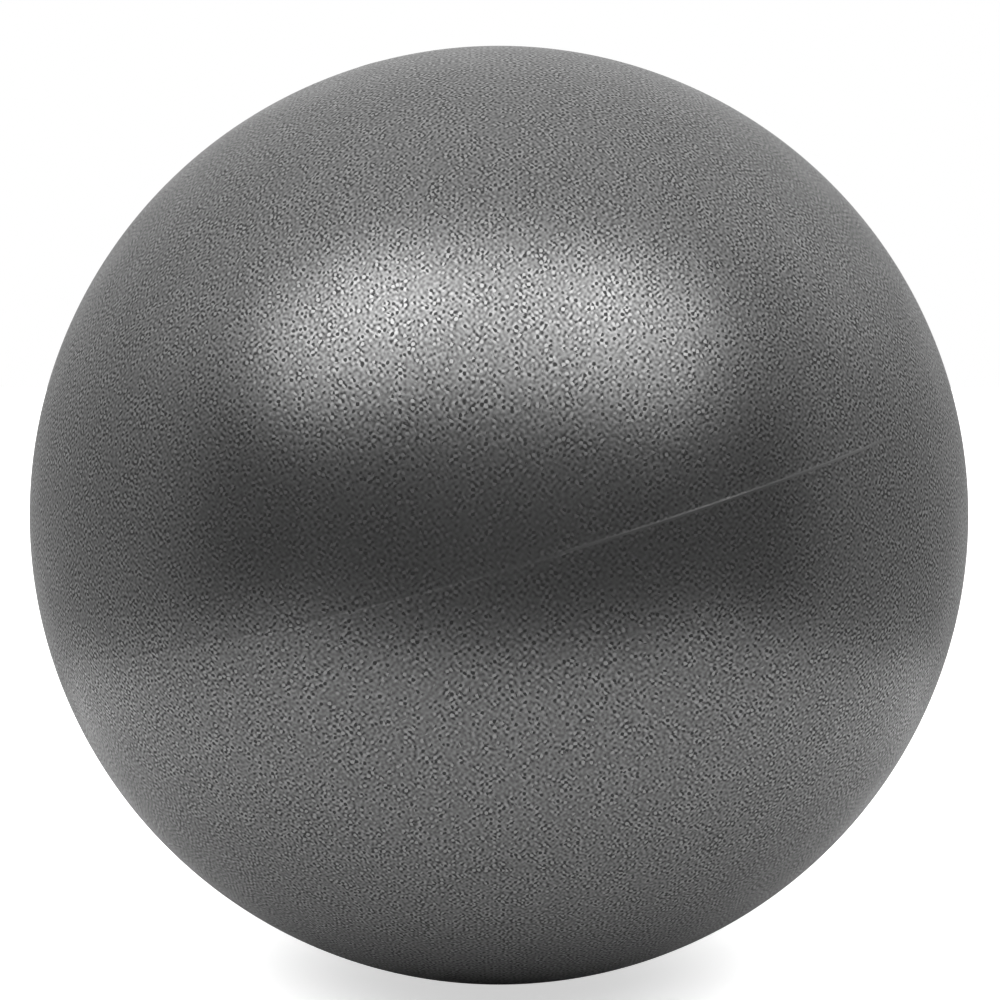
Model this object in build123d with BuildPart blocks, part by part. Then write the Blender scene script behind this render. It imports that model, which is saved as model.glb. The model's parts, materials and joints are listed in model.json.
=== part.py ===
from build123d import *
import os
from math import acos, asin, degrees, isclose, sqrt

# Small inflatable exercise ball: a one-piece moulded PVC shell, a soft valve seat fused into its
# wall, and a stopper that pulls out of the seat. Millimetres, +Z up, origin at the ball's centre.
# The ball was moulded about an axis that runs through the valve. It lies with that axis tipped
# from +Z towards -X, so the parting line round its middle is tilted too.

# Driving dimensions
ball_diameter = 230.0
wall = 0.75
lean = 16.0  # degrees from +Z to the moulding axis

parting_line_width = 1.2
parting_line_height = 0.11

bore_diameter = 5.0
plug_clearance = 0.04  # radial, between the stopper's sealing rings and the bore

# Valve seat
seat_face_diameter = 18.0
seat_flange_diameter = 28.0
seat_flange_thickness = 1.4
seat_neck_diameter = 14.0
seat_end_diameter = 10.0
seat_depth = 13.0
recess_diameter = 11.8
recess_depth = 1.6
recess_draft = 0.25  # added to the recess's radius at its mouth
seat_edge_radius = 0.6

# Stopper
head_diameter = 10.4
head_below_surface = 0.1
head_edge_radius = 0.45
stem_diameter = 4.4
ring_depths = (3.0, 5.6, 8.2)  # below the recess floor
tip_diameter = 3.0
tip_edge_radius = 0.75
tip_length = 2.2
tip_beyond_seat = 1.2

# Worked out from the driving dimensions
outer_radius = ball_diameter / 2
inner_radius = outer_radius - wall
recess_floor = outer_radius - recess_depth
seat_end = outer_radius - seat_depth
ring_diameter = bore_diameter - 2 * plug_clearance
half_flash = degrees(asin(parting_line_width / 2 / outer_radius))

# Every piece is a body of revolution. The profiles are drawn on this plane, where X is the
# distance from the moulding axis and Y is the height along it.
profile_plane = Plane.XZ.rotated((0, -lean, 0))
moulding_axis = Axis(profile_plane.origin, profile_plane.y_dir)


def height_on(radius, distance):
    """Height of a circle about the origin at this distance from the moulding axis."""
    return sqrt(radius**2 - distance**2)


def angle_on(radius, distance):
    """Angle, above the profile plane's X, of that same point of the circle."""
    return degrees(acos(distance / radius))


def rims(edges, radius):
    """The round edges that have this radius."""
    return edges.filter_by(GeomType.CIRCLE).filter_by(lambda edge: isclose(edge.radius, radius))


def arc_between(radius, start_distance, end_distance):
    """Arc of a circle about the origin between two distances from the moulding axis."""
    start = angle_on(radius, start_distance)
    return CenterArc((0, 0), radius, start, angle_on(radius, end_distance) - start)


os.makedirs("parts", exist_ok=True)

# Shell: the whole skin of the ball, open only where the valve seat goes through it. The flash of
# the parting line is a low rounded rib round the middle.
with BuildPart() as ball_shell:
    with BuildSketch(profile_plane):
        with BuildLine():
            seat_radius = seat_face_diameter / 2
            upper_end = angle_on(outer_radius, seat_radius)
            upper = CenterArc((0, 0), outer_radius, half_flash, upper_end - half_flash)
            lower = CenterArc((0, 0), outer_radius, -90, 90 - half_flash)
            ThreePointArc(lower @ 1, (outer_radius + parting_line_height, 0), upper @ 0)
            inner_end = angle_on(inner_radius, seat_radius)
            inner = CenterArc((0, 0), inner_radius, -90, 90 + inner_end)
            Line(lower @ 0, inner @ 0)
            Line(inner @ 1, upper @ 1)
        make_face()
    revolve(axis=moulding_axis)
ball_shell.part.label = "ball_shell"
export_step(ball_shell.part, "parts/ball_shell.step")

# Valve seat: its face lies flush in the ball's surface, its flange is fused to the inside of the
# wall, and its neck tapers inwards round the bore.
with BuildPart() as valve_seat:
    with BuildSketch(profile_plane):
        with BuildLine():
            bore_radius = bore_diameter / 2
            recess_radius = recess_diameter / 2
            flange_radius = seat_flange_diameter / 2
            mouth_radius = recess_radius + recess_draft
            face = arc_between(outer_radius, mouth_radius, seat_radius)
            fused = arc_between(inner_radius, seat_radius, flange_radius)
            Line(face @ 1, fused @ 0)
            flange_under = height_on(inner_radius, flange_radius) - seat_flange_thickness
            Polyline(
                fused @ 1,
                (flange_radius, flange_under),
                (seat_neck_diameter / 2, flange_under),
                (seat_end_diameter / 2, seat_end),
                (bore_radius, seat_end),
                (bore_radius, recess_floor),
                (recess_radius, recess_floor),
                face @ 0,
            )
        make_face()
    revolve(axis=moulding_axis)
    fillet(rims(valve_seat.edges(), seat_end_diameter / 2), radius=seat_edge_radius)
valve_seat.part.label = "valve_seat"
export_step(valve_seat.part, "parts/valve_seat.step")

# Stopper: a low domed head that sits in the seat's recess, and a stem with sealing rings and a
# tapered tip that shows past the inner end of the seat.
with BuildPart() as valve_plug:
    with BuildSketch(profile_plane):
        with BuildLine():
            head_radius = head_diameter / 2
            stem_radius = stem_diameter / 2
            head_arc_radius = outer_radius - head_below_surface
            dome = arc_between(head_arc_radius, head_radius, 0)
            tip_end = seat_end - tip_beyond_seat
            Polyline(
                dome @ 0,
                (head_radius, recess_floor),
                (stem_radius, recess_floor),
                (stem_radius, tip_end + tip_length),
                (tip_diameter / 2, tip_end),
                (0, tip_end),
                dome @ 1,
            )
        make_face()
    revolve(axis=moulding_axis)
    with BuildSketch(profile_plane):
        for depth in ring_depths:
            with Locations((stem_radius, recess_floor - depth)):
                Circle((ring_diameter - stem_diameter) / 2)
    revolve(axis=moulding_axis)
    head_top = rims(valve_plug.edges(), head_radius).sort_by(moulding_axis)[-1]
    fillet(head_top, radius=head_edge_radius)
    fillet(rims(valve_plug.edges(), tip_diameter / 2), radius=tip_edge_radius)
valve_plug.part.label = "valve_plug"
export_step(valve_plug.part, "parts/valve_plug.step")
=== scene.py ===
import json
import math
from functools import reduce

import bmesh
import bpy
import numpy as np
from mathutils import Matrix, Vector


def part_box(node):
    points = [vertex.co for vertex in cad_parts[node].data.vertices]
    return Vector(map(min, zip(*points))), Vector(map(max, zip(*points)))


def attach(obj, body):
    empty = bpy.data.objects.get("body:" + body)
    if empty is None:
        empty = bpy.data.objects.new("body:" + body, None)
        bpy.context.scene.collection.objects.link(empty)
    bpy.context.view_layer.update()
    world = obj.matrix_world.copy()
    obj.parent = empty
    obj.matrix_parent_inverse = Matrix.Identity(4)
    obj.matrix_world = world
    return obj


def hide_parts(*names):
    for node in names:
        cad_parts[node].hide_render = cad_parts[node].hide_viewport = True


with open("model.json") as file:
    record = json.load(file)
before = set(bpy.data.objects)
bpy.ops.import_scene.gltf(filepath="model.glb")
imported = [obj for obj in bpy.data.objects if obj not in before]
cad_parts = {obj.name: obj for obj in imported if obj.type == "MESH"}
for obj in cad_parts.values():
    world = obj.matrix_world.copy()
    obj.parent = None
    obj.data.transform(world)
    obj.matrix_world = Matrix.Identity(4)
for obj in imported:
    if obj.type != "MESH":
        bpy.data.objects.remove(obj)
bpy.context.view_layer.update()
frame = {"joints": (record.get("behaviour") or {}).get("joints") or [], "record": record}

# ---------------------------------------------------------------------------
# What the frame says: the ball's centre and radius, the moulding axis through
# the valve, and the valve's bore.
# ---------------------------------------------------------------------------
MM = 0.001
shell_low, shell_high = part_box("ball_shell")
CENTRE = (shell_low + shell_high) / 2
RADIUS = (shell_high.x - shell_low.x) / 2
AXIS = Vector(frame["joints"][0]["axis"]).normalized()
SIDE = Vector((0, 1, 0)).cross(AXIS).normalized()
BEHIND = AXIS.cross(SIDE)
FLOOR = shell_low.z
PORT = next(m for m in frame["record"]["mounts"] if m["name"] == "inflation_port")
BORE = PORT["dims"]["r_mm"] * MM

# ---------------------------------------------------------------------------
# Sizes of the pieces, in metres
# ---------------------------------------------------------------------------
WALL = 0.75 * MM

SEAT_FACE = 9.0 * MM
SEAT_FLANGE = 14.0 * MM
SEAT_FLANGE_THICKNESS = 1.4 * MM
SEAT_NECK = 7.0 * MM
SEAT_END = 5.0 * MM
SEAT_DEPTH = 13.0 * MM
RECESS = 5.9 * MM
RECESS_MOUTH = 6.15 * MM
RECESS_DEPTH = 1.6 * MM
BEAD_HEIGHT = 0.16 * MM  # of the moulded ring round the recess
BEAD_WIDTH = 0.5 * MM
BEAD_SLOPE = 0.3 * MM

HEAD = 5.2 * MM
HEAD_BELOW = 0.1 * MM
STEM = 2.2 * MM
RING = BORE - 0.04 * MM
RING_DEPTHS = (3.0 * MM, 5.6 * MM, 8.2 * MM)
RING_HALF = 0.18 * MM  # half of a sealing ring's crest, along the stem
RING_FOOT = 0.5 * MM
TIP = 1.5 * MM
TIP_LENGTH = 2.2 * MM
TIP_BEYOND = 1.2 * MM
GATE = 0.4 * MM  # the mark where the stopper was cut from its mould
GATE_DEPTH = 0.1 * MM
DIMPLE = 1.2 * MM
DIMPLE_DEPTH = 0.3 * MM
DIMPLE_SLOPE = 0.3 * MM
GROOVE = 4.0 * MM
GROOVE_WIDTH = 0.5 * MM
GROOVE_DEPTH = 0.16 * MM
GROOVE_SLOPE = 0.15 * MM

FLASH_WIDTH = 1.2 * MM
FLASH_HEIGHT = 0.11 * MM
FLASH_LEAST = 0.02 * MM
# Where the flash stands out: middle and spread in degrees round the axis from +X, and how far it
# rises there, from 0 for FLASH_LEAST to 1 for FLASH_HEIGHT
FLASH_HUMPS = ((-63, 22, 1.0), (-94, 13, 0.32), (130, 34, 0.7))
FLASH_SQUARENESS = 4  # 2 would make each hump a bell curve; more gives it a flatter top
# How uneven it is: waves in a turn, rise on that same scale, and phase in radians
FLASH_WAVES = ((9, 0.05, 1.3), (23, 0.04, 0.4), (57, 0.06, 0.0))

SKIN_SEGMENTS = 400
SKIN_ROWS = 94
INSIDE_ROWS = 34
FLASH_ROWS = 10
MOUTH_SUPPORT = 0.1 * MM  # from the skin's opening to the row of vertices before it
VALVE_SEGMENTS = 128
CORNER_STEPS = 5
CORNER_SUPPORT = 0.05 * MM  # from a corner's arc to the vertex on either side of it
ON_AXIS = 1e-7  # a point of an outline nearer the axis than this is on it

# ---------------------------------------------------------------------------
# Looks. Texture scales are in cells per metre.
# ---------------------------------------------------------------------------
WHITE = (1, 1, 1, 1)

SHELL_GREY = 0.02
SHELL_TONE = (0.94, 1.06)
SHELL_TONE_SCALE = 30.0
SHELL_ROUGHNESS = (0.42, 0.55)
SHELL_ROUGHNESS_SCALE = 60.0
SHELL_SPECULAR = 0.03
SHELL_COAT_IOR = 2.0
SHELL_COAT_ROUGHNESS = 0.33
PAINTED_PIT_SHADE = 0.7  # painted shade in the grain's pits: share of the vinyl's grey that shows where it has no gloss
PAINTED_PIT_SHADE_RISE = 0.4  # and what full gloss adds to it

GRAIN_SCALE = 1300.0
GRAIN_FINE = 0.62  # strength of the fine noise, beside DOT_HEIGHT for the dots
GRAIN_REACH = 0.65 * MM  # how far off the grain's surroundings are averaged
GRAIN_GLOSS = 0.47  # weight of the glossy layer where the grain is neither high nor low
GRAIN_GLOSS_LEAST = 0.04
GRAIN_CONTRAST = 2.0
GRAIN_DEPTH = 0.04 * MM
DOT_SCALE = 1150.0
DOT_RADIUS = 0.42  # of a cell
DOT_HEIGHT = 1.25
DOT_POWER = 3.0  # odd, so that dots go down as well as up; most of them are faint
PATCH_SCALE = 260.0
PATCH_STRENGTH = (0.75, 1.25)
SWELL_SCALE = 190.0
SEAM_BARE = (0.15 * MM, 0.5 * MM)  # the grain fades in between these distances from the seam
SEAM_ENDS = (0.75, 1.2)  # and between these multiples of a hump's spread, along the seam
SEAM_POLISH = 0.2  # added to the glossy layer's weight on the seam

VALVE_IOR = 1.5
VALVE_GRAIN_DEPTH = 0.02 * MM

SEAT_GREY = (0.016, 0.024)
SEAT_TONE_SCALE = 400.0
SEAT_ROUGHNESS = (0.34, 0.46)
SEAT_ROUGHNESS_SCALE = 900.0
SEAT_GRAIN_SCALE = 2600.0
SEAT_TOOL_MARK = 0.22 * MM  # spacing of the turning marks that the mould left
SEAT_TOOL_SHARE = 0.15
SEAT_BUMP = 0.6

PLUG_CLEAN = (0.19, 0.19, 0.18, 1)
PLUG_GRIMY = (0.09, 0.09, 0.085, 1)
PLUG_ROUGHNESS = (0.36, 0.5)
PLUG_ROUGHNESS_SCALE = 1100.0
PLUG_GRAIN_SCALE = 3200.0
PLUG_SWELL_SCALE = 500.0
PLUG_SWELL_SHARE = 1.5
PLUG_BUMP = 0.5
PLUG_SCATTER = 0.2
PLUG_SCATTER_DEPTH = 0.6 * MM
PLUG_SCATTER_TINT = (1.0, 0.9, 0.8)  # how deep red, green and blue go, as shares of that depth
GRIME_AROUND_GROOVE = (0.2 * MM, 0.45 * MM)
GRIME_AT_RIM = (4.6 * MM, 5.2 * MM)
RIM_CLEAN = 0.8
WIPED_SCALE = 700.0
WIPED_CLEAN = (0.72, 1.0)  # how clean a wiped patch is, however near the groove or rim

# ---------------------------------------------------------------------------
# Camera: just above the ball's middle, close to it, on the -Y side
# ---------------------------------------------------------------------------
CAMERA_DISTANCE = 5.0 * RADIUS
CAMERA_ELEVATION = math.radians(5.6)
CAMERA_LENS = 82.8
CAMERA_SHIFT = (0.001, 0.0152)
CAMERA_CLIP = (0.01, 50.0)

# ---------------------------------------------------------------------------
# Stage: a white table that lights the ball from below, and soft lights. The table
# itself shows only in the ball. The camera sees a pale floor that glows a little.
# ---------------------------------------------------------------------------
TABLE = (-2.7 * RADIUS, -2.8 * RADIUS, 2.7 * RADIUS, 1.4 * RADIUS)
TABLE_BELOW = 0.1 * MM  # so that it can't shadow the floor
TABLE_ALBEDO = 0.9
PAINTED_SHADOW_CENTRE = (0, 0.9 * RADIUS)  # of a painted shadow, a soft grey patch in the table's paint
PAINTED_SHADOW_FADE = (1.35 * RADIUS, 2.2 * RADIUS)
PAINTED_SHADOW_ALBEDO = 0.6
FLOOR_HALF = 30 * RADIUS
FLOOR_ALBEDO = 0.8
FLOOR_GLOW = 0.6
PAINT_ROUGHNESS = 0.8

# How bright the room is just above the horizon, what it gains towards overhead, and below
WALLS = 0.79
WALLS_OVERHEAD = 1.03
WALLS_BELOW = 0.85
# Where these meet, where the unlit space begins on the viewer's side, and where it ends at its
# top. A direction's height is the sine of its elevation.
HORIZON = (-0.02, 0.02)
UNLIT_AHEAD = (0.1, 0.4)  # cosine of the angle round from straight at the viewer
UNLIT_TOP = (math.sin(math.radians(24)), math.sin(math.radians(36)))

SOFTBOXES = (
    # name, azimuth, elevation, distance, width, height, brightness
    ("softbox_left", -46, 40, 0.6, 0.34, 0.22, 1.39),
    ("softbox_right", 38, 47, 0.6, 0.37, 0.20, 1.98),
    ("core_left", -33, 50, 0.6, 0.20, 0.14, 5.8),
    ("core_middle", -2, 52, 0.6, 0.24, 0.10, 3.32),
    ("core_right", 32, 51, 0.6, 0.12, 0.14, 3.55),
    ("front_panel", -4, 48, 0.65, 1.3, 0.37, 4.33),
    ("front_strip", -4, 32, 0.7, 1.2, 0.10, 0.4),
    ("upper_panel", -6, 68, 0.7, 0.9, 0.24, 0.28),
    ("overhead_panel", 180, 84, 0.9, 1.0, 0.4, 0.43),
    ("side_left", -92, 40, 0.9, 0.33, 0.56, 0.53),
    ("side_right", 108, 38, 0.9, 0.33, 0.56, 0.63),
)


def make_camera():
    data = bpy.data.cameras.new("camera")
    data.lens = CAMERA_LENS
    data.shift_x, data.shift_y = CAMERA_SHIFT
    data.clip_start, data.clip_end = CAMERA_CLIP
    camera = bpy.data.objects.new("camera", data)
    bpy.context.scene.collection.objects.link(camera)
    back = Vector((0, -math.cos(CAMERA_ELEVATION), math.sin(CAMERA_ELEVATION)))
    camera.location = CENTRE + back * CAMERA_DISTANCE
    camera.rotation_euler = (math.radians(90) - CAMERA_ELEVATION, 0, 0)
    bpy.context.scene.camera = camera


# ---------------------------------------------------------------------------
# Node helpers
# ---------------------------------------------------------------------------
def new_material(name):
    material = bpy.data.materials.new(name)
    material.use_nodes = True
    tree = material.node_tree
    return material, tree, tree.nodes["Principled BSDF"]


def add(tree, kind, values=None, **settings):
    """A node of this kind. values sets or links its inputs, settings its own properties."""
    node = tree.nodes.new("ShaderNode" + kind)
    for key, value in settings.items():
        setattr(node, key, value)
    for key, value in (values or {}).items():
        if isinstance(value, bpy.types.NodeSocket):
            tree.links.new(value, node.inputs[key])
        else:
            node.inputs[key].default_value = value
    return node


def math_node(tree, operation, *values):
    return add(tree, "Math", dict(enumerate(values)), operation=operation).outputs[0]


def total(tree, *values):
    return reduce(lambda a, b: math_node(tree, "ADD", a, b), values)


def product(tree, *values):
    return reduce(lambda a, b: math_node(tree, "MULTIPLY", a, b), values)


def place(tree):
    return add(tree, "TexCoord").outputs["Object"]


def noise(tree, where, scale, detail=0.0):
    return add(tree, "TexNoise", {"Vector": where, "Scale": scale, "Detail": detail}).outputs["Fac"]


def span(tree, value, low, high, to_low=0.0, to_high=1.0):
    """value mapped from low..high to to_low..to_high, clamped, with smooth ends."""
    values = {"Value": value, "From Min": low, "From Max": high, "To Min": to_low, "To Max": to_high}
    return add(tree, "MapRange", values, interpolation_type="SMOOTHSTEP").outputs["Result"]


def cloud(tree, where, scale, ends, detail=0.0, flat=0.3):
    """Noise spread between two ends. It is level below flat and above 1 - flat."""
    return span(tree, noise(tree, where, scale, detail), flat, 1 - flat, *ends)


def grey(tree, value):
    return add(tree, "CombineColor", {"Red": value, "Green": value, "Blue": value}).outputs["Color"]


def along_axis(tree, where):
    """Height above the plane of the parting line, in metres."""
    return add(tree, "VectorMath", {0: where, 1: AXIS}, operation="DOT_PRODUCT").outputs["Value"]


def off_axis(tree, where):
    """Distance from the moulding axis, in metres."""
    around = add(tree, "VectorMath", {0: where, 1: AXIS}, operation="CROSS_PRODUCT").outputs["Vector"]
    return add(tree, "VectorMath", {0: around}, operation="LENGTH").outputs["Value"]


def on_flash(tree, where):
    """Each hump's rise, on the parting line's flash, and 0 elsewhere."""
    humps = []
    for middle, spread, rise in FLASH_HUMPS:
        towards = SIDE * math.cos(math.radians(middle)) + BEHIND * math.sin(math.radians(middle))
        beside = add(tree, "VectorMath", {0: where, 1: towards}, operation="DOT_PRODUCT").outputs["Value"]
        full, none = (RADIUS * math.cos(math.radians(spread * share)) for share in SEAM_ENDS)
        humps.append(span(tree, beside, none, full, 0.0, rise))
    from_seam = math_node(tree, "ABSOLUTE", along_axis(tree, where))
    highest = reduce(lambda a, b: math_node(tree, "MAXIMUM", a, b), humps)
    return product(tree, highest, span(tree, from_seam, *SEAM_BARE, 1.0, 0.0))


def bump(tree, height, depth, strength=1.0):
    return add(tree, "Bump", {"Strength": strength, "Distance": depth, "Height": height}).outputs["Normal"]


# ---------------------------------------------------------------------------
# Materials
# ---------------------------------------------------------------------------
def pebbles(tree, where):
    """Fine noise, with a dot of its own height, up or down, in each of many small cells."""
    cell = add(tree, "TexVoronoi", {"Vector": where, "Scale": DOT_SCALE}, feature="F1")
    away = math_node(tree, "DIVIDE", cell.outputs["Distance"], DOT_RADIUS)
    fall = math_node(tree, "EXPONENT", product(tree, away, away, -1.0))
    chance = add(tree, "SeparateColor", {0: cell.outputs["Color"]}).outputs["Red"]
    strength = math_node(tree, "POWER", math_node(tree, "MULTIPLY_ADD", chance, 2.0, -1.0), DOT_POWER)
    fine = product(tree, noise(tree, where, GRAIN_SCALE), GRAIN_FINE)
    return total(tree, fine, product(tree, fall, strength, DOT_HEIGHT))


def stipple(tree, where):
    """The pebbles less their average over six points round them on the ball."""
    turns = [(axis, turn) for axis in "XYZ" for turn in (GRAIN_REACH / RADIUS, -GRAIN_REACH / RADIUS)]
    grain = pebbles(tree, where)
    for axis, turn in turns:
        values = {"Vector": where, "Center": CENTRE, "Angle": turn}
        beside = add(tree, "VectorRotate", values, rotation_type=axis + "_AXIS").outputs["Vector"]
        grain = math_node(tree, "MULTIPLY_ADD", pebbles(tree, beside), -1 / len(turns), grain)
    return grain


def shell_pvc():
    """Black vinyl with a fine stippled grain, its tops burnished and its pits dull, with painted shade in
    the pits: their grey is darker.
    """
    material, tree, shader = new_material("shell_pvc")
    where = place(tree)
    bare = on_flash(tree, where)
    grained = math_node(tree, "SUBTRACT", 1.0, bare)
    patches = cloud(tree, where, PATCH_SCALE, PATCH_STRENGTH)
    grain = product(tree, stipple(tree, where), patches, grained)
    relief = product(tree, noise(tree, where, GRAIN_SCALE), grained)
    swell = noise(tree, where, SWELL_SCALE, detail=1.0)
    normal = bump(tree, total(tree, relief, swell), GRAIN_DEPTH)
    tree.links.new(normal, shader.inputs["Normal"])
    tree.links.new(normal, shader.inputs["Coat Normal"])

    polish = product(tree, bare, SEAM_POLISH)
    gloss = total(tree, product(tree, grain, GRAIN_CONTRAST), polish, GRAIN_GLOSS)
    gloss = math_node(tree, "MINIMUM", math_node(tree, "MAXIMUM", gloss, GRAIN_GLOSS_LEAST), 1.0)
    tree.links.new(gloss, shader.inputs["Coat Weight"])
    shader.inputs["Coat IOR"].default_value = SHELL_COAT_IOR
    shader.inputs["Coat Roughness"].default_value = SHELL_COAT_ROUGHNESS
    shader.inputs["Specular IOR Level"].default_value = SHELL_SPECULAR

    tone = cloud(tree, where, SHELL_TONE_SCALE, SHELL_TONE, detail=2.0, flat=0.25)
    # Painted shade in the grain's pits: the grey is darker where the glossy layer is thin, and a little
    # lighter on the polished seam
    painted_pit_shade = math_node(tree, "MULTIPLY_ADD", gloss, PAINTED_PIT_SHADE_RISE, PAINTED_PIT_SHADE)
    tree.links.new(grey(tree, product(tree, tone, painted_pit_shade, SHELL_GREY)), shader.inputs["Base Color"])
    roughness = cloud(tree, where, SHELL_ROUGHNESS_SCALE, SHELL_ROUGHNESS, detail=3.0)
    tree.links.new(roughness, shader.inputs["Roughness"])
    return material


def seat_pvc():
    """Softer black vinyl with the faint turning marks of its mould."""
    material, tree, shader = new_material("seat_pvc")
    where = place(tree)
    rings = math_node(tree, "SINE", product(tree, off_axis(tree, where), 2 * math.pi / SEAT_TOOL_MARK))
    grain = noise(tree, where, SEAT_GRAIN_SCALE, detail=2.0)
    height = total(tree, product(tree, rings, SEAT_TOOL_SHARE), grain)
    tree.links.new(bump(tree, height, VALVE_GRAIN_DEPTH, SEAT_BUMP), shader.inputs["Normal"])
    tone = cloud(tree, where, SEAT_TONE_SCALE, SEAT_GREY, detail=3.0)
    tree.links.new(grey(tree, tone), shader.inputs["Base Color"])
    roughness = cloud(tree, where, SEAT_ROUGHNESS_SCALE, SEAT_ROUGHNESS, detail=2.0)
    tree.links.new(roughness, shader.inputs["Roughness"])
    shader.inputs["IOR"].default_value = VALVE_IOR
    return material


def plug_plastic():
    """Grey plastic, with grime in its groove and round its rim."""
    material, tree, shader = new_material("plug_plastic")
    where = place(tree)
    swell = product(tree, noise(tree, where, PLUG_SWELL_SCALE, detail=1.0), PLUG_SWELL_SHARE)
    height = total(tree, swell, noise(tree, where, PLUG_GRAIN_SCALE, detail=3.0))
    tree.links.new(bump(tree, height, VALVE_GRAIN_DEPTH, PLUG_BUMP), shader.inputs["Normal"])
    off = off_axis(tree, where)
    from_groove = math_node(tree, "ABSOLUTE", math_node(tree, "SUBTRACT", off, GROOVE))
    out_of_groove = span(tree, from_groove, *GRIME_AROUND_GROOVE)
    off_rim = span(tree, off, *GRIME_AT_RIM, 1.0, RIM_CLEAN)
    wiped = cloud(tree, where, WIPED_SCALE, WIPED_CLEAN, detail=4.0, flat=0.35)
    clean = math_node(tree, "MAXIMUM", product(tree, out_of_groove, off_rim), wiped)
    tint = add(tree, "Mix", {0: clean, 6: PLUG_GRIMY, 7: PLUG_CLEAN}, data_type="RGBA").outputs[2]
    tree.links.new(tint, shader.inputs["Base Color"])
    roughness = cloud(tree, where, PLUG_ROUGHNESS_SCALE, PLUG_ROUGHNESS, detail=2.0)
    tree.links.new(roughness, shader.inputs["Roughness"])
    shader.inputs["IOR"].default_value = VALVE_IOR
    shader.inputs["Subsurface Weight"].default_value = PLUG_SCATTER
    shader.inputs["Subsurface Radius"].default_value = PLUG_SCATTER_TINT
    shader.inputs["Subsurface Scale"].default_value = PLUG_SCATTER_DEPTH
    return material


# ---------------------------------------------------------------------------
# Mesh helpers
# ---------------------------------------------------------------------------
def lathe(name, profile, segments, closed, relief=None):
    """Solid of revolution about the moulding axis. profile holds (distance, height) points.

    A closed profile is a loop clear of the axis; an open one starts and ends on it. A point may
    hold a share too: relief(turns) gives, for each angle round the axis, how far out such a row
    stands, times that share.
    """
    turns = np.arange(segments) * (2 * math.pi / segments)
    ring = np.outer(np.cos(turns), SIDE) + np.outer(np.sin(turns), BEHIND)
    vertices, rows = [], []
    for distance, height, *share in profile:
        start = sum(len(block) for block in vertices)
        if distance < ON_AXIS:
            vertices.append(np.array([AXIS]) * height)
            rows.append(np.full(segments, start))
            continue
        row = ring * distance + np.array(AXIS) * height
        if share:
            lift = relief(turns) * share[0] / math.hypot(distance, height)
            row = row * (1 + lift)[:, None]
        vertices.append(row)
        rows.append(start + np.arange(segments))
    pairs = list(zip(rows, rows[1:]))
    if closed:
        pairs.append((rows[-1], rows[0]))
    faces = []
    for first, second in pairs:
        for corners in zip(first, np.roll(first, -1), np.roll(second, -1), second):
            corners = list(dict.fromkeys(corners))  # a row on the axis is one point
            if len(corners) > 2:
                faces.append(corners)
    mesh = bpy.data.meshes.new(name)
    mesh.from_pydata((np.vstack(vertices) + np.array(CENTRE)).tolist(), [], faces)
    work = bmesh.new()
    work.from_mesh(mesh)
    bmesh.ops.recalc_face_normals(work, faces=work.faces)
    work.to_mesh(mesh)
    work.free()
    mesh.shade_smooth()
    piece = bpy.data.objects.new(name, mesh)
    bpy.context.scene.collection.objects.link(piece)
    return piece


def arc(radius, start, end, steps):
    """Points of a circle about the centre, between two angles above the ball's middle."""
    angles = [start + (end - start) * i / steps for i in range(steps + 1)]
    return [(radius * math.cos(a), radius * math.sin(a)) for a in angles]


def on_ball(distance, inset=0.0):
    """Height of the ball's surface, or of one this far inside it, above a point off the axis."""
    return math.sqrt((RADIUS - inset) ** 2 - distance**2)


def rounded(corners):
    """Outline through the corners, each (distance, height, radius), with an arc at each radius."""
    points = []
    for i, (distance, height, radius) in enumerate(corners):
        here = Vector((distance, height))
        if not radius:
            points.append(here)
            continue
        before = (Vector(corners[i - 1][:2]) - here).normalized()
        after = (Vector(corners[(i + 1) % len(corners)][:2]) - here).normalized()
        half = before.angle(after) / 2
        reach = radius / math.tan(half)
        middle = here + (before + after).normalized() * radius / math.sin(half)
        first = (here + before * reach - middle).normalized()
        last = (here + after * reach - middle).normalized()
        points.append(here + before * (reach + CORNER_SUPPORT))
        for step in range(CORNER_STEPS + 1):
            points.append(middle + first.slerp(last, step / CORNER_STEPS) * radius)
        points.append(here + after * (reach + CORNER_SUPPORT))
    return [(max(0.0, x), y) for x, y in points]


def stands_for(piece, node, body, material):
    piece.data.materials.append(material)
    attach(piece, body)
    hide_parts(node)


# ---------------------------------------------------------------------------
# The ball's skin
# ---------------------------------------------------------------------------
def flash_relief(turns):
    """Height of the parting line's flash at each angle round the axis, from 0 at +X towards +Y."""
    share = sum(rise * np.cos(waves * turns + phase) for waves, rise, phase in FLASH_WAVES)
    for middle, spread, rise in FLASH_HUMPS:
        away = np.degrees(np.angle(np.exp(1j * (turns - math.radians(middle)))))
        share = share + rise * np.exp(-((away / spread) ** FLASH_SQUARENESS))
    return FLASH_LEAST + (FLASH_HEIGHT - FLASH_LEAST) * np.clip(share, 0, 1)


def ball_skin():
    half_flash = FLASH_WIDTH / 2 / RADIUS
    mouth = math.acos(SEAT_FACE / RADIUS)
    mouth_inside = math.acos(SEAT_FACE / (RADIUS - WALL))
    south = -math.pi / 2
    outside = arc(RADIUS, south, -half_flash, SKIN_ROWS)
    for i in range(1, FLASH_ROWS):
        angle = half_flash * (2 * i / FLASH_ROWS - 1)
        share = 0.5 + 0.5 * math.cos(math.pi * angle / half_flash)
        outside.append((RADIUS * math.cos(angle), RADIUS * math.sin(angle), share))
    outside += arc(RADIUS, half_flash, mouth - MOUTH_SUPPORT / RADIUS, SKIN_ROWS)
    outside.append((SEAT_FACE, on_ball(SEAT_FACE)))
    inside = arc(RADIUS - WALL, mouth_inside, south, INSIDE_ROWS)
    skin = lathe("ball_skin", outside + inside, SKIN_SEGMENTS, False, flash_relief)
    stands_for(skin, "ball_shell", "ball", shell_pvc())


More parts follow.
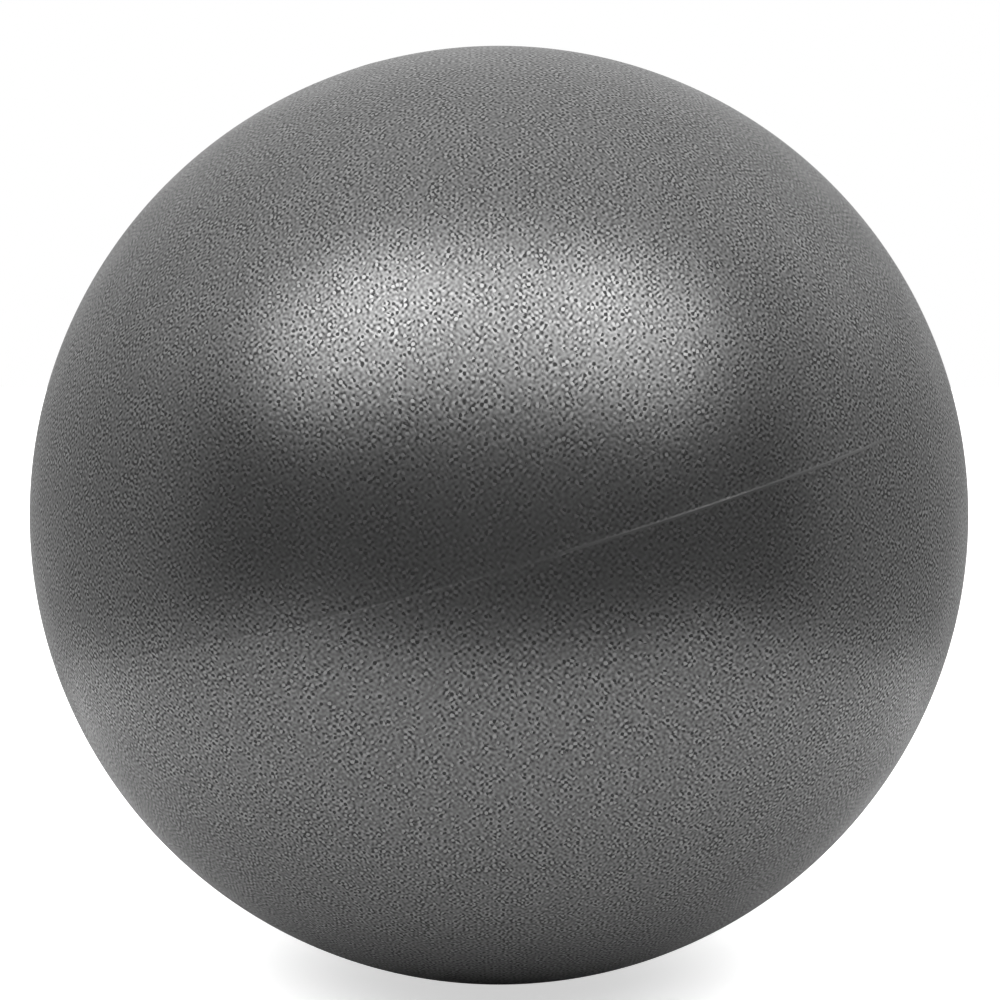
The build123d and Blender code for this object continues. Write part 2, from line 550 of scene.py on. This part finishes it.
# ---------------------------------------------------------------------------
# The valve: the seat fused into the skin, and the stopper
# ---------------------------------------------------------------------------
def seat_boss():
    floor = RADIUS - RECESS_DEPTH
    end = RADIUS - SEAT_DEPTH
    flange_under = on_ball(SEAT_FLANGE, WALL) - SEAT_FLANGE_THICKNESS
    bead_top = on_ball(RECESS_MOUTH) + BEAD_HEIGHT
    bead_foot = RECESS_MOUTH + BEAD_WIDTH + BEAD_SLOPE
    # distance off the axis, height along it, radius of the corner's arc
    corners = [
        (RECESS_MOUTH, bead_top, 0.1 * MM),
        (RECESS_MOUTH + BEAD_WIDTH, bead_top, 0.15 * MM),
        (bead_foot, on_ball(bead_foot), 0.2 * MM),
        (SEAT_FACE, on_ball(SEAT_FACE), 0.15 * MM),
        (SEAT_FACE, on_ball(SEAT_FACE, WALL), 0),
        (SEAT_FLANGE, on_ball(SEAT_FLANGE, WALL), 0.3 * MM),
        (SEAT_FLANGE, flange_under, 0.4 * MM),
        (SEAT_NECK, flange_under, 0.8 * MM),
        (SEAT_END, end, 0.6 * MM),
        (BORE, end, 0.3 * MM),
        (BORE, floor, 0.3 * MM),
        (RECESS, floor, 0.35 * MM),
    ]
    boss = lathe("seat_boss", rounded(corners), VALVE_SEGMENTS, True)
    stands_for(boss, "valve_seat", "ball", seat_pvc())


def stopper():
    floor = RADIUS - RECESS_DEPTH
    tip_end = RADIUS - SEAT_DEPTH - TIP_BEYOND
    near, far = GROOVE - GROOVE_WIDTH / 2, GROOVE + GROOVE_WIDTH / 2
    # distance off the axis, height along it, radius of the corner's arc
    corners = [
        (0, on_ball(0, HEAD_BELOW + GATE_DEPTH), 0),
        (GATE, on_ball(GATE, HEAD_BELOW + GATE_DEPTH), 0.06 * MM),
        (GATE, on_ball(GATE, HEAD_BELOW + DIMPLE_DEPTH), 0.06 * MM),
        (DIMPLE, on_ball(DIMPLE, HEAD_BELOW + DIMPLE_DEPTH), 0.2 * MM),
        (DIMPLE + DIMPLE_SLOPE, on_ball(DIMPLE, HEAD_BELOW), 0.15 * MM),
        (near - GROOVE_SLOPE, on_ball(near, HEAD_BELOW), 0.08 * MM),
        (near, on_ball(near, HEAD_BELOW + GROOVE_DEPTH), 0.08 * MM),
        (far, on_ball(far, HEAD_BELOW + GROOVE_DEPTH), 0.08 * MM),
        (far + GROOVE_SLOPE, on_ball(far, HEAD_BELOW), 0.08 * MM),
        (HEAD, on_ball(HEAD, HEAD_BELOW), 0.4 * MM),
        (HEAD, floor, 0.15 * MM),
        (STEM, floor, 0.3 * MM),
    ]
    for depth in RING_DEPTHS:
        corners += [
            (STEM, floor - depth + RING_FOOT, 0.2 * MM),
            (RING, floor - depth + RING_HALF, 0.15 * MM),
            (RING, floor - depth - RING_HALF, 0.15 * MM),
            (STEM, floor - depth - RING_FOOT, 0.2 * MM),
        ]
    corners += [
        (STEM, tip_end + TIP_LENGTH, 0.6 * MM),
        (TIP, tip_end, 0.7 * MM),
        (0, tip_end, 0),
    ]
    plug = lathe("stopper", rounded(corners), VALVE_SEGMENTS, False)
    stands_for(plug, "valve_plug", "plug", plug_plastic())


# ---------------------------------------------------------------------------
# Table, floor, lights and room
# ---------------------------------------------------------------------------
def sheet(name, x0, y0, x1, y1, z):
    """A flat rectangle."""
    mesh = bpy.data.meshes.new(name)
    mesh.from_pydata([(x0, y0, z), (x1, y0, z), (x1, y1, z), (x0, y1, z)], [], [(0, 1, 2, 3)])
    piece = bpy.data.objects.new(name, mesh)
    bpy.context.scene.collection.objects.link(piece)
    return piece


def table_paint():
    """White, with a painted shadow: a soft grey patch under the ball and behind it."""
    material, tree, shader = new_material("table_paint")
    # Painted shadow: the white fades to grey towards a point behind the ball
    away = add(tree, "VectorMath", {0: place(tree), 1: (*PAINTED_SHADOW_CENTRE, FLOOR)}, operation="DISTANCE")
    albedo = span(tree, away.outputs["Value"], *PAINTED_SHADOW_FADE, PAINTED_SHADOW_ALBEDO, TABLE_ALBEDO)
    tree.links.new(grey(tree, albedo), shader.inputs["Base Color"])
    shader.inputs["Roughness"].default_value = PAINT_ROUGHNESS
    return material


def floor_paint():
    material, _, shader = new_material("floor_paint")
    shader.inputs["Base Color"].default_value = (FLOOR_ALBEDO, FLOOR_ALBEDO, FLOOR_ALBEDO, 1)
    shader.inputs["Roughness"].default_value = PAINT_ROUGHNESS
    shader.inputs["Emission Color"].default_value = WHITE
    shader.inputs["Emission Strength"].default_value = FLOOR_GLOW
    return material


def make_floor():
    table = sheet("table", *TABLE, FLOOR - TABLE_BELOW)
    table.data.materials.append(table_paint())
    table.visible_camera = False
    floor = sheet("floor", -FLOOR_HALF, -FLOOR_HALF, FLOOR_HALF, FLOOR_HALF, FLOOR)
    floor.data.materials.append(floor_paint())
    floor.visible_diffuse = False
    floor.visible_glossy = False
    floor.visible_shadow = False


def softbox(name, azimuth, elevation, distance, width, height, brightness):
    """A rectangular soft light that faces the ball. Azimuth 0 is the viewer's side, 90 is +X.

    brightness is how bright its face is, where 1 is the white that the camera just clips.
    """
    data = bpy.data.lights.new(name, "AREA")
    data.shape = "RECTANGLE"
    data.size, data.size_y = width, height
    data.energy = brightness * math.pi * width * height
    light = bpy.data.objects.new(name, data)
    bpy.context.scene.collection.objects.link(light)
    a, e = math.radians(azimuth), math.radians(elevation)
    away = Vector((math.sin(a) * math.cos(e), -math.cos(a) * math.cos(e), math.sin(e)))
    light.location = CENTRE + away * distance
    light.rotation_mode = "QUATERNION"
    light.rotation_quaternion = away.to_track_quat("Z", "Y")
    light.visible_camera = False


def studio_walls(tree):
    """How bright the room is in each direction: pale walls, brighter overhead, and an unlit
    space on the viewer's side, below the softboxes."""
    axes = add(tree, "SeparateXYZ", {0: add(tree, "TexCoord").outputs["Generated"]})
    y, z = axes.outputs["Y"], axes.outputs["Z"]
    upper = math_node(tree, "MULTIPLY_ADD", z, WALLS_OVERHEAD, WALLS)
    above = span(tree, z, *HORIZON)
    walls = add(tree, "Mix", {0: above, 2: WALLS_BELOW, 3: upper}).outputs[0]
    level = math_node(tree, "SQRT", math_node(tree, "SUBTRACT", 1.0, product(tree, z, z)))
    forward = math_node(tree, "DIVIDE", product(tree, y, -1.0), level)
    unlit = product(tree, span(tree, forward, *UNLIT_AHEAD), span(tree, z, *UNLIT_TOP, 1.0, 0.0))
    return product(tree, walls, math_node(tree, "SUBTRACT", 1.0, unlit))


def make_world():
    """A room that lights the ball. The camera sees plain white in its place."""
    world = bpy.data.worlds.new("studio")
    bpy.context.scene.world = world
    world.use_nodes = True
    tree = world.node_tree
    tree.nodes.clear()
    seen = add(tree, "Background", {"Color": WHITE, "Strength": 1.0})
    room = add(tree, "Background", {"Color": WHITE, "Strength": studio_walls(tree)})
    camera_ray = add(tree, "LightPath").outputs["Is Camera Ray"]
    mix = add(tree, "MixShader", {0: camera_ray, 1: room.outputs[0], 2: seen.outputs[0]})
    add(tree, "OutputWorld", {"Surface": mix.outputs[0]})


make_camera()
make_floor()
for box in SOFTBOXES:
    softbox(*box)
make_world()
ball_skin()
seat_boss()
stopper()

bpy.context.scene.view_settings.view_transform = "Standard"
